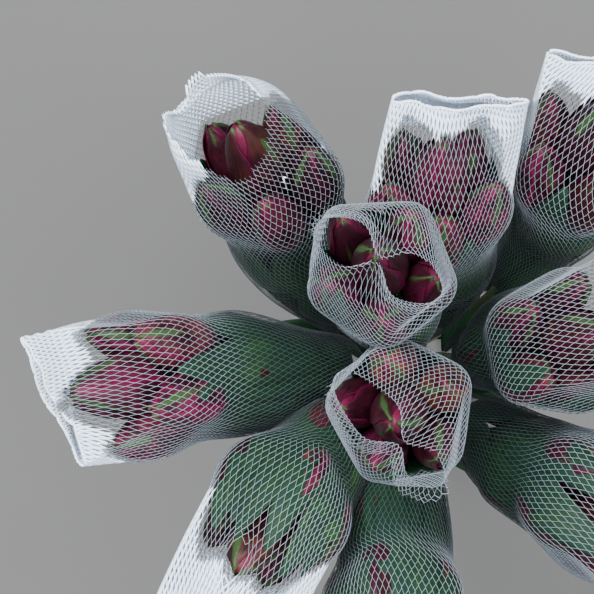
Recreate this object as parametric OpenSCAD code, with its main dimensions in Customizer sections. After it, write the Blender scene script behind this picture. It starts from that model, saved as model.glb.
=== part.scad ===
// A bunch of ten alstroemeria stems in tight bud. Each head is held in a knitted net sleeve.
// +Z runs up the bunch. The cut end of the middle stem stands at the origin.

/* [Stems] */
// Diameter of a stem
stem_d = 5.5; // [4:0.5:6]
// Radius of the ring that the outer cut ends stand on
foot_r = 36; // [28:1:42]
// Height of the binding above the cut ends
bind_z = 250; // [200:5:280]
// Turn of the outer stems about the bunch between the binding and the cut ends
spiral = 40; // [0:5:60]

/* [Buds] */
// Largest diameter of a full bud
bud_d = 20.5; // [16:0.5:20.5]
// Length of a full bud
bud_l = 48; // [40:1:50]
// Full buds in the outer ring of a head
ring_buds = 5; // [4:1:5]
// Diameter of the stalk under a bud
pedicel_d = 2.4; // [2:0.2:3]

/* [Leaves] */
// Width of a leaf at its widest
leaf_w = 16; // [10:1:17]
// Thickness of a leaf
leaf_t = 0.8; // [0.6:0.1:1]
// Leaves in the whorl under the buds
whorl_leaves = 6; // [4:1:6]
// Leaves on the stem under the whorl, inside the sleeve
lower_leaves = 3; // [2:1:4]
// Leaves on each outer stem between the binding and the sleeve
free_leaves = 2; // [0:1:2]
// Length of those free leaves
free_leaf_l = 70; // [50:5:80]

/* [Net sleeves] */
// Thickness of the knitted net
net_t = 0.9; // [0.8:0.1:1.2]
// Radius of a sleeve where it grips the stem
neck_r = 8; // [7:0.5:9]

/* [Binding] */
// Thickness of the rubber band
band_t = 1.8; // [1.2:0.2:2.4]
// Turns of the rubber band
band_turns = 3; // [2:1:4]

/* [Hidden] */
// One row for each stem: the sleeve's neck, the top of the stem, the middle of the buds
// and the middle of the sleeve's mouth, then the sleeve's radius at the stem's top and at
// the buds, and half the width and thickness of its mouth.
HEADS = [
    [[-26, 20, 366], [-46, 42, 406], [-67, 85, 473], [-83, 102, 516], 19, 32, 18, 14],
    [[5, 22, 372], [10, 38, 412], [6, 77, 480], [11, 106, 526], 18, 31, 25, 5],
    [[32, 28, 362], [58, 60, 402], [68, 94, 466], [76, 126, 508], 18, 31, 28, 3],
    [[-6, 8, 430], [-12, 24, 470], [-20, 43, 540], [-22, 45, 576], 17, 29, 20, 16],
    [[3, -6, 420], [-4, -8, 460], [-12, -13, 528], [-17, -16, 566], 17, 29, 21, 18],
    [[22, 4, 370], [36, 8, 406], [60, 14, 470], [84, 28, 518], 18, 31, 26, 5],
    [[-26, 0, 366], [-52, 0, 404], [-119, -4, 467], [-153, -11, 505], 20, 33, 28, 3],
    [[-19, -18, 366], [-38, -37, 402], [-64, -62, 458], [-86, -106, 496], 19, 32, 28, 3],
    [[-3, -24, 364], [-7, -53, 400], [-11, -108, 450], [-15, -152, 486], 20, 32, 28, 3],
    [[20, -18, 366], [40, -35, 402], [78, -58, 456], [114, -82, 498], 20, 32, 28, 3],
];
// Place of each stem in the bunch: its step round the ring of outer stems, or one of the two inside
INNER = -1;
RING_STEP = [3, 2, 1, INNER, INNER, 0, 4, 5, 6, 7];
OUTER_STEMS = 8;
RING_START = 10;
MIDDLE = 4;
INNER_AT_BAND = [3, 0, 0];
// Colours of the bud varieties, and which one each stem carries
TINTS = [[0.33, 0.10, 0.18], [0.62, 0.14, 0.33], [0.72, 0.36, 0.26], [0.48, 0.52, 0.24]];
VARIETY = [0, 0, 0, 0, 2, 0, 1, 3, 3, 0];
STEM_TINT = [0.42, 0.56, 0.26];
LEAF_TINT = [0.16, 0.34, 0.17];
NET_TINT = [0.88, 0.91, 0.97];
BAND_TINT = [0.62, 0.50, 0.30];

STEM_SIDES = 8;
NET_SIDES = 14;
LEAF_ROWS = 6;
ring_r = stem_d * 1.56;
band_r = ring_r + stem_d / 2 + band_t / 2 + 0.1;
// Seats of the buds in a head whose sleeve has the radius full_half at its widest
full_half = 33.5;
cluster_drop = 34;
ring_base_r = 17;
ring_splay = 11;
crown_rise = 16;
crown_share = 1.12;
low_drop = 30;
low_base_r = 18;
low_splay = 6;
low_share = 0.66;

COUNT = len(HEADS);

function unit(v) = v / norm(v);

// Point at u on a smooth curve through the points p; whole values of u are the points themselves
function along(p, u) =
    let (k = max(0, min(floor(u), len(p) - 2)))
    let (t = u - k, a = p[max(k - 1, 0)], b = p[k], c = p[k + 1], d = p[min(k + 2, len(p) - 1)])
    0.5 * (2 * b + (c - a) * t + (2 * a - 5 * b + 4 * c - d) * t * t
    + (3 * b - a - 3 * c + d) * t * t * t);
function heading(p, u) = unit(along(p, min(u + 0.05, len(p) - 1)) - along(p, max(u - 0.05, 0)));

function sleeve_path(i) = [for (k = [0:3]) HEADS[i][k]];
function facing(i) = atan2(HEADS[i][3][1] - HEADS[i][0][1], HEADS[i][3][0] - HEADS[i][0][0]);
// Level direction across a head, and the direction that completes its frame
function across(i, t) = let (s = [-sin(facing(i)), cos(facing(i)), 0]) unit(s - (s * t) * t);
function upper(i, t) = cross(t, across(i, t));

// Where a stem crosses the binding and where it stands
function ring_angle(i) = 360 / OUTER_STEMS * RING_STEP[i] + RING_START;
function at_band(i) =
    RING_STEP[i] == INNER
    ? (i == MIDDLE ? -INNER_AT_BAND : INNER_AT_BAND) + [0, 0, bind_z]
    : [ring_r * cos(ring_angle(i)), ring_r * sin(ring_angle(i)), bind_z];
function at_foot(i) =
    i == MIDDLE ? [0, 0, 0]
    : RING_STEP[i] == INNER ? [foot_r / 3, foot_r / 4, 0]
    : [foot_r * cos(ring_angle(i) - spiral), foot_r * sin(ring_angle(i) - spiral), 0];
function stem_path(i) = [at_foot(i), (at_foot(i) + at_band(i)) / 2, at_band(i), HEADS[i][0], HEADS[i][1]];

// Half the width and thickness of a sleeve at u, from its neck at 0 to its mouth at 3
function sleeve_half(i, u) =
    let (top = HEADS[i][4], wide = HEADS[i][5], w = HEADS[i][6], t = HEADS[i][7])
    [lookup(u, [[0, neck_r], [0.5, (neck_r + top) / 2 - 0.5], [1, top], [1.5, wide * 0.84],
        [1.85, wide], [2.15, wide], [2.5, max(wide * 0.8, w)], [3, w]]),
     lookup(u, [[0, neck_r], [0.5, (neck_r + top) / 2 - 0.5], [1, top], [1.5, wide * 0.84],
        [1.85, wide], [2.15, wide], [2.5, wide * 0.74], [2.7, max(wide * 0.44, t)], [3, t]])];

// A ring of points round a curve, flattened to half the width a and half the thickness b
function hoop(i, u, a, b, sides) =
    let (p = sleeve_path(i), c = along(p, u), t = heading(p, u))
    let (e1 = across(i, t), e2 = upper(i, t))
    [for (k = [0:sides - 1]) c + a * cos(360 * k / sides) * e1 + b * sin(360 * k / sides) * e2];

// Walls between successive rings of n points; rings run away from the viewer of the first ring
function walls(n, first, last, shift, flip) = [
    for (j = [first:last - 1], k = [0:n - 1])
        let (a = shift + j * n + k, b = shift + j * n + (k + 1) % n, c = b + n, d = a + n)
        for (f = flip ? [[a, b, c], [a, c, d]] : [[a, c, b], [a, d, c]]) f
];

// A solid rod swept along a curve, with both ends cut level
module rod(p, r, steps) {
    rings = [
        for (j = [0:steps])
            let (u = (len(p) - 1) * j / steps, c = along(p, u), t = heading(p, u))
            let (flat = j == 0 || j == steps, lean = flat ? [0, 0, 1] : t)
            let (e1 = unit(cross([0, 1, 0], lean)), e2 = cross(lean, e1))
            for (k = [0:STEM_SIDES - 1])
                c + r * cos(360 * k / STEM_SIDES) * e1 + r * sin(360 * k / STEM_SIDES) * e2
    ];
    polyhedron(rings, concat(
        walls(STEM_SIDES, 0, steps, 0, false),
        [[for (k = [0:STEM_SIDES - 1]) k]],
        [[for (k = [STEM_SIDES - 1:-1:0]) steps * STEM_SIDES + k]]
    ), convexity = 4);
}

// Turns a shape modelled along +Z so that it stands at p and runs along v
module stand(p, v) {
    translate(p)
        rotate([0, 0, atan2(v[1], v[0])])
            rotate([0, acos(v[2] / norm(v)), 0])
                children();
}

// Outline of a bud: narrow foot, full belly below the middle, rounded tip
module bud(d, l) {
    n = 12;
    rotate_extrude($fn = 36)
        polygon(concat([[0, 0]], [
            for (k = [0:n])
                let (v = k / n)
                [d / 2 * (0.16 * (1 - v) + 0.94 * pow(sin(180 * pow(v, 0.8)), 0.62)), l * v]
        ], [[0, l]]));
}

// The buds of a head: a ring of full buds, then the largest in the middle, then a small one below.
// Each has the place of its foot, the way it points and its size as a share of a full bud.
function bud_seats(i) =
    let (p = sleeve_path(i), c = along(p, 2), t = heading(p, 2), e1 = across(i, t), e2 = upper(i, t))
    [
        for (k = [0:ring_buds + 1])
            let (ring = k < ring_buds, low = k > ring_buds)
            let (turn = ring ? 360 * k / ring_buds + 23 * i : 23 * i + 180 / ring_buds - 90)
            let (out = cos(turn) * e1 + sin(turn) * e2)
            let (r = ring ? ring_base_r : low ? low_base_r : 0)
            let (rise = ring ? 0 : low ? -low_drop : crown_rise)
            let (splay = ring ? ring_splay : low ? low_splay : 0)
            let (g = HEADS[i][5] / full_half)
            [c + g * ((rise - cluster_drop) * t + r * out), cos(splay) * t + sin(splay) * out,
             g * (ring ? 1 : low ? low_share : crown_share)]
    ];

module stem(i) {
    color(STEM_TINT) rod(stem_path(i), stem_d / 2, 14);
}

// The crown of stalks on top of a stem, cut level where it meets the stem
module pedicels(i) {
    hub = HEADS[i][1];
    size = 160;
    color(STEM_TINT)
        intersection() {
            union() {
                translate(hub) sphere(d = stem_d + 1.5, $fn = 16);
                for (seat = bud_seats(i))
                    let (v = seat[0] - hub)
                        stand(hub, v)
                            hull() {
                                cylinder(d = pedicel_d, h = 0.5, $fn = 8);
                                translate([0, 0, norm(v) - 0.7]) cylinder(d = pedicel_d, h = 0.5, $fn = 8);
                            }
            }
            translate([hub[0] - size / 2, hub[1] - size / 2, hub[2]]) cube(size);
        }
}

module buds(i) {
    color(TINTS[VARIETY[i]])
        for (seat = bud_seats(i))
            stand(seat[0], seat[1]) bud(bud_d * seat[2], bud_l * seat[2]);
}

// Half the width of a lance-shaped leaf at v along it
function leaf_half(v) = leaf_w / 2 * max(0.1, pow(sin(180 * (0.03 + 0.9 * v)), 0.8));

// A thin blade from rows of three points, first all of its upper side and then its lower side
module blade(points) {
    n = 3 * (LEAF_ROWS + 1);
    faces = [
        for (j = [0:LEAF_ROWS - 1], k = [0:1])
            let (a = 3 * j + k, b = a + 1, c = a + 4, d = a + 3)
            for (f = [[a, c, b], [a, d, c], [n + a, n + b, n + c], [n + a, n + c, n + d]]) f
    ];
    sides = [
        for (j = [0:LEAF_ROWS - 1])
            let (a = 3 * j, b = a + 3, c = a + 2, d = a + 5)
            for (f = [[a, n + a, n + b], [a, n + b, b], [c, d, n + d], [c, n + d, n + c]]) f
    ];
    ends = [
        for (k = [0:1])
            let (a = k, b = k + 1, c = 3 * LEAF_ROWS + k, d = c + 1)
            for (f = [[a, b, n + b], [a, n + b, n + a], [c, n + d, d], [c, n + c, n + d]]) f
    ];
    polyhedron(points, concat(faces, sides, ends), convexity = 4);
}

// A leaf pressed against the inside of the sleeve, from u0 up to u1
module pressed_leaf(i, turn, u0, u1) {
    p = sleeve_path(i);
    blade([
        for (skin = [0, 1], j = [0:LEAF_ROWS], k = [-1:1])
            let (v = j / LEAF_ROWS, u = u0 + (u1 - u0) * v, c = along(p, u), t = heading(p, u))
            let (half = sleeve_half(i, u), rise = min(1, 2.6 * v), foot = stem_d / 2 + leaf_t + 0.2)
            let (r = foot * (1 - rise) + (min(half[0], half[1]) - net_t - 0.5) * rise - leaf_t * skin)
            let (q = turn + k * min(50, leaf_half(v) / r * 57.3))
            c + r * (cos(q) * across(i, t) + sin(q) * upper(i, t))
    ]);
}

// A leaf that springs from the bare stem at u and arches outward
module free_leaf(i, u, turn) {
    q = facing(i) + turn;
    out = [cos(q), sin(q), 0];
    side = [-sin(q), cos(q), 0];
    foot = along(stem_path(i), u) + (stem_d / 2 + leaf_t) * out;
    blade([
        for (skin = [0, 1], j = [0:LEAF_ROWS], k = [-1:1])
            let (v = j / LEAF_ROWS, bend = 55 + 75 * v)
            let (way = sin(bend / 2) * out + cos(bend / 2) * [0, 0, 1])
            let (c = foot + free_leaf_l * (v - 0.3 * v * v) * way)
            let (normal = cos(bend) * out - sin(bend) * [0, 0, 1])
            c - 0.8 * leaf_half(v) * k * side - (0.3 * leaf_half(v) * abs(k) - leaf_t * skin) * normal
    ]);
}

module leaves(i) {
    color(LEAF_TINT) {
        for (k = [0:whorl_leaves - 1])
            pressed_leaf(i, 360 * k / whorl_leaves + 15 * i, 1.02, 1.72 + 0.1 * (k % 2));
        for (k = [0:lower_leaves - 1])
            pressed_leaf(i, 360 * k / lower_leaves + 40 + 15 * i, 0.12, 1.0);
        if (RING_STEP[i] != INNER)
            for (k = [0:free_leaves - 1])
                free_leaf(i, 2.35 + 0.3 * k, 50 * (2 * k - 1));
    }
}

// A knitted tube, open at its neck and at its mouth
module net_sleeve(i) {
    stations = concat([for (u = [0:0.25:2.75]) u], [3]);
    last = len(stations) - 1;
    n = NET_SIDES;
    total = n * (last + 1);
    skin = [
        for (inside = [0, 1], u = stations)
            let (half = sleeve_half(i, u))
            each hoop(i, u, half[0] - net_t * inside, half[1] - net_t * inside, n)
    ];
    rims = [
        for (k = [0:n - 1])
            let (m = (k + 1) % n, a = last * n)
            for (f = [[k, m, total + m], [k, total + m, total + k],
                [a + k, a + total + m, a + m], [a + k, a + total + k, a + total + m]]) f
    ];
    color(NET_TINT)
        polyhedron(skin, concat(walls(n, 0, last, 0, false), walls(n, 0, last, total, true), rims),
            convexity = 8);
}

// One rubber band wound round the bunch, drawn as its turns side by side
module rubber_band() {
    color(BAND_TINT)
        for (k = [0:band_turns - 1])
            translate([0, 0, bind_z + (k - (band_turns - 1) / 2) * (band_t + 0.1)])
                rotate_extrude($fn = 64) translate([band_r, 0]) circle(d = band_t, $fn = 16);
}

for (i = [0:COUNT - 1]) {
    stem(i);
    pedicels(i);
    buds(i);
    leaves(i);
    net_sleeve(i);
}
rubber_band();
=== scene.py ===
"""A bunch of ten alstroemeria stems in bud, each head in a knitted net sleeve, built on its CAD frame."""

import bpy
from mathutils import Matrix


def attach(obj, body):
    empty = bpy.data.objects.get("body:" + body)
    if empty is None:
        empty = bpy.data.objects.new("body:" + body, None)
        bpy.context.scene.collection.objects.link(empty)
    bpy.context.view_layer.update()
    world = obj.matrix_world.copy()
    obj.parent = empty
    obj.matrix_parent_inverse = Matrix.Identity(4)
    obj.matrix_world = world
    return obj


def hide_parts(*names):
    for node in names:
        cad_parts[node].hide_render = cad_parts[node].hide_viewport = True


bl_info = {
    "name": "Alstroemeria Bunch in Net Sleeves",
    "version": (1, 0, 0),
    "blender": (4, 5, 0),
    "location": "View3D > Sidebar > Bunch",
    "description": "Builds net sleeves, buds, leaves, stalks and stems around the packed bunch",
    "category": "Add Mesh",
}

import math
from collections import namedtuple

import bmesh
import bpy
import numpy as np
from bpy.props import FloatProperty, FloatVectorProperty, IntProperty, PointerProperty
from mathutils import Matrix, Vector

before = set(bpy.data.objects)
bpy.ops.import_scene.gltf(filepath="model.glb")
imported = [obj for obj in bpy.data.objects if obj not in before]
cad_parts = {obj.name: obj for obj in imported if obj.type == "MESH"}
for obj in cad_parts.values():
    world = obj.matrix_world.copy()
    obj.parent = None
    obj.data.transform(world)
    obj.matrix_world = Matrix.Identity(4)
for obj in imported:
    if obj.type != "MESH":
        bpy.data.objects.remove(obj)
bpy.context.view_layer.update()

MM = 0.001
TAU = 2 * math.pi
ROOT = "root"

# Each head's sleeve in millimetres, as in the CAD: the neck, the top of the stem, the middle of
# the buds and the middle of the mouth, the radius at the stem's top and at the buds, and half the
# width and the thickness of the mouth. Then the mouth's turn about the sleeve in degrees, the
# length that the net runs on past the mouth, how much shorter one side is cut, the angle of the
# longer side, how narrow the short part is, and how far and where the mouth is pinched shut.
Head = namedtuple(
    "Head", "neck top middle mouth top_r wide mouth_w mouth_t turn extra slant slant_at notch "
    "pinch pinch_at", defaults=(1, 0, 0))
HEADS = [
    Head((-26, 20, 366), (-46, 42, 406), (-67, 85, 473), (-83, 102, 516),
         19, 32, 19, 12, -30, 14, 27, 262, 1.6, 0.95, 13),
    Head((5, 22, 372), (10, 38, 412), (6, 77, 480), (11, 106, 526), 18, 31, 26, 2.5, 0, 7, 6, 180),
    Head((32, 28, 362), (58, 60, 402), (68, 94, 466), (76, 126, 508), 18, 31, 28, 2, 0, 4, 12, 180),
    Head((-6, 8, 430), (-12, 24, 470), (-20, 43, 540), (-22, 45, 576), 17, 29, 26, 10, -53, 11, 2, 0, 1, 1),
    Head((3, -6, 420), (-4, -8, 460), (-12, -13, 528), (-17, -16, 566),
         17, 29, 28, 9, 17, 10, 0, 0, 1, 0.95, 7),
    Head((22, 4, 370), (36, 8, 406), (60, 14, 470), (84, 28, 518), 18, 31, 26, 5, 0, 2, 8, 0),
    Head((-26, 0, 366), (-52, 0, 404), (-119, -4, 467), (-153, -11, 505), 20, 33, 28, 2, 0, 5, 20, 180),
    Head((-19, -18, 366), (-38, -37, 402), (-64, -62, 458), (-86, -106, 496), 19, 32, 28, 2, 0, 4, 10, 0),
    Head((-3, -24, 364), (-7, -53, 400), (-11, -108, 450), (-15, -152, 486), 20, 32, 28, 2, 0, 2, 8, 0),
    Head((20, -18, 366), (40, -35, 402), (78, -58, 456), (114, -82, 498), 20, 32, 28, 2, 0, 2, 10, 180),
]
COUNT = len(HEADS)

# Small openings where the net is torn: the head, the distance up the sleeve in millimetres, the
# angle round it in degrees, half the length and half the width.
Hole = namedtuple("Hole", "head up angle half_l half_w")
HOLES = [Hole(8, 146, 100, 8, 4.5)]

# Heads whose net stays stretched right up to its mouth, and those whose cut edge is ragged
SNUG = (4, 5, 6)
RAGGED = (1, 4, 5)

# Cuffs where the cut edge of a mouth is turned outward: the head, the angle of the middle of the
# cuff in degrees, how far it reaches to each side, and its length in millimetres.
Cuff = namedtuple("Cuff", "head angle reach length")
CUFFS = [
    Cuff(4, 300, 45, 6),
    Cuff(4, 131, 45, 6),
    Cuff(5, 285, 95, 12),
]


# ---------------------------------------------------------------- settings in the sidebar


class NetSettings(bpy.types.PropertyGroup):
    """Sizes and colours of the knitted net."""

    cells_round: IntProperty(
        name="Cells round", description="Net cells round a sleeve", default=70, min=24, max=80)
    strand: FloatProperty(
        name="Strand length", description="Length of a slanted strand when the net is stretched",
        default=2.95 * MM, min=1.5 * MM, max=5 * MM, unit="LENGTH", precision=5)
    pillar: FloatProperty(
        name="Pillar length", description="Length of the short doubled strand between cells",
        default=0.75 * MM, min=0.3 * MM, max=2 * MM, unit="LENGTH", precision=5)
    thickness: FloatProperty(
        name="Strand thickness", description="Thickness of a strand round the leaves",
        default=0.21 * MM, min=0.1 * MM, max=1.2 * MM, unit="LENGTH", precision=5)
    bud_gain: FloatProperty(
        name="Gain over buds", description="How much thicker the yarn is over the buds",
        default=0.09 * MM, min=0, max=1 * MM, unit="LENGTH", precision=5)
    fluff: FloatProperty(
        name="Fluff", description="How much thicker the yarn is in a relaxed free end",
        default=1.05 * MM, min=0, max=1.5 * MM, unit="LENGTH", precision=5)
    relaxed: FloatProperty(
        name="Relaxed cell", description="Width of a cell when nothing stretches the net",
        default=1.7 * MM, min=1 * MM, max=4 * MM, unit="LENGTH", precision=5)
    colour: FloatVectorProperty(
        name="Yarn colour", description="Colour of the net's yarn", subtype="COLOR",
        default=(0.72, 0.85, 1.0), min=0, max=1)


class BudSettings(bpy.types.PropertyGroup):
    """Colours of the tepals."""

    body: FloatVectorProperty(
        name="Body", description="Dark colour of a closed bud", subtype="COLOR",
        default=(0.010, 0.002, 0.004), min=0, max=1)
    edge: FloatVectorProperty(
        name="Edge", description="Bright colour of the tepal edges", subtype="COLOR",
        default=(0.105, 0.003, 0.034), min=0, max=1)
    green: FloatVectorProperty(
        name="Green", description="Colour of the midrib and the tip", subtype="COLOR",
        default=(0.015, 0.040, 0.012), min=0, max=1)
    gold: FloatVectorProperty(
        name="Gold", description="Warm colour of the brighter varieties", subtype="COLOR",
        default=(0.28, 0.125, 0.018), min=0, max=1)


class GreenSettings(bpy.types.PropertyGroup):
    """Colours and sizes of the leaves and stems."""

    leaf: FloatVectorProperty(
        name="Leaf", description="Colour of a leaf", subtype="COLOR",
        default=(0.0042, 0.0165, 0.0105), min=0, max=1)
    stem: FloatVectorProperty(
        name="Stem", description="Colour of a stem", subtype="COLOR",
        default=(0.055, 0.11, 0.025), min=0, max=1)
    leaf_half: FloatProperty(
        name="Half leaf width", description="Half the width of the widest leaves",
        default=9 * MM, min=4 * MM, max=14 * MM, unit="LENGTH", precision=5)


class StageSettings(bpy.types.PropertyGroup):
    """Floor, lights and camera."""

    floor: FloatVectorProperty(
        name="Floor", description="Colour of the floor", subtype="COLOR",
        default=(0.1085, 0.1085, 0.1085), min=0, max=1)
    camera_at: FloatVectorProperty(
        name="Camera", description="Where the camera stands", subtype="TRANSLATION",
        default=(-0.052, 0.032, 1.430))
    lens: FloatProperty(
        name="Lens", description="Focal length of the camera", default=141.0, min=20, max=300)


# ---------------------------------------------------------------- small tools


def settings(name):
    """The settings of that name in the sidebar."""
    return getattr(bpy.context.scene, name)


def stood(name, data):
    """A new object, put into the scene."""
    thing = bpy.data.objects.new(name, data)
    bpy.context.scene.collection.objects.link(thing)
    return thing


def finished(name, bm, material, replaced):
    """Turns a bmesh into a piece that rides on the root body and stands for one node of the CAD."""
    mesh = bpy.data.meshes.new(name)
    bm.to_mesh(mesh)
    bm.free()
    mesh.materials.append(material)
    mesh.polygons.foreach_set("use_smooth", [True] * len(mesh.polygons))
    piece = stood(name, mesh)
    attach(piece, ROOT)
    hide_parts(replaced)
    return piece


def blade_grid(bm, uv, columns, rows):
    """A flat grid with its UV map; gives its faces, and each vertex's shares across and along it."""
    made = bmesh.ops.create_grid(bm, x_segments=columns, y_segments=rows, size=0.5)["verts"]
    share = {v: (v.co.x + 0.5, v.co.y + 0.5) for v in made}
    faces = list(dict.fromkeys(face for v in made for face in v.link_faces))
    for face in faces:
        for loop in face.loops:
            loop[uv].uv = share[loop.vert]
    return faces, share


def unit(v):
    """The same directions with a length of 1."""
    v = np.asarray(v, float)
    return v / np.linalg.norm(v, axis=-1, keepdims=True)


def along(points, u):
    """Smooth curve through the points; whole values of u are the points themselves."""
    points = np.asarray(points, float)
    u = np.atleast_1d(np.asarray(u, float))
    last = len(points) - 1
    k = np.clip(np.floor(u).astype(int), 0, last - 1)
    t = (u - k)[:, None]
    a, b = points[np.maximum(k - 1, 0)], points[k]
    c, d = points[k + 1], points[np.minimum(k + 2, last)]
    return 0.5 * (2 * b + (c - a) * t + (2 * a - 5 * b + 4 * c - d) * t**2
                  + (3 * b - a - 3 * c + d) * t**3)


def headings(points, u):
    """The directions of the curve at u."""
    last = len(points) - 1
    ahead, behind = np.minimum(np.asarray(u) + 0.05, last), np.maximum(np.asarray(u) - 0.05, 0)
    return unit(along(points, ahead) - along(points, behind))


def smoothstep(low, high, x):
    """Rises smoothly from 0 at low to 1 at high."""
    t = np.clip((np.asarray(x, float) - low) / (high - low), 0, 1)
    return t * t * (3 - 2 * t)


def ripples(seed, count=5):
    """A smooth repeatable wobble of two variables, the second one periodic, between about -1 and 1."""
    rng = np.random.default_rng(seed)
    rows = [(rng.uniform(0.5, 1), rng.uniform(20, 75), rng.integers(1, 5), rng.uniform(0, TAU))
            for _ in range(count)]
    total = sum(r[0] for r in rows)

    def wobble(s, phi):
        value = 0
        for weight, rate, turns, phase in rows:
            value = value + weight * np.sin(rate * np.asarray(s) + TAU * turns * np.asarray(phi) + phase)
        return value / total * 1.6

    return wobble


# ---------------------------------------------------------------- where the buds are


BudSeat = namedtuple("BudSeat", "foot axis length radius")


def bud_profile(v):
    """Radius of a bud at v along it, as a share of half its diameter."""
    v = np.clip(v, 0, 1)
    return 0.16 * (1 - v) + 0.94 * np.clip(np.sin(math.pi * v**0.8), 0, 1) ** 0.62


def bud_seats(index):
    """Foot, axis, length and radius of each closed bud, measured on the CAD node's solids."""
    bm = bmesh.new()
    bm.from_mesh(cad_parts[f"buds_{index + 1}"].data)
    bmesh.ops.remove_doubles(bm, verts=bm.verts, dist=1e-6)
    heading = headings(sleeve_path(index), [2.0])[0]
    unseen, seats = set(bm.verts), []
    while unseen:
        todo, group = [unseen.pop()], []
        while todo:
            v = todo.pop()
            group.append(v.co[:])
            for edge in v.link_edges:
                other = edge.other_vert(v)
                if other in unseen:
                    unseen.discard(other)
                    todo.append(other)
        points = np.array(group)
        middle = points.mean(0)
        axis = np.linalg.svd(points - middle, full_matrices=False)[2][0]
        axis = axis if axis @ heading > 0 else -axis
        h = (points - middle) @ axis
        off = np.linalg.norm(points - middle - h[:, None] * axis, axis=1)
        seats.append(BudSeat(middle + h.min() * axis, axis, h.max() - h.min(), off.max()))
    bm.free()
    return sorted(seats, key=lambda seat: tuple(np.round(seat.foot, 5)))


def sleeve_path(index):
    """The points that a sleeve's middle runs through, in metres."""
    head = HEADS[index]
    return np.array([head.neck, head.top, head.middle, head.mouth], float) * MM


def facing(index):
    """The angle that a sleeve leans to, looking straight down."""
    way = sleeve_path(index)[3] - sleeve_path(index)[0]
    return math.atan2(way[1], way[0])


# ---------------------------------------------------------------- the surface of a sleeve


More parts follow.
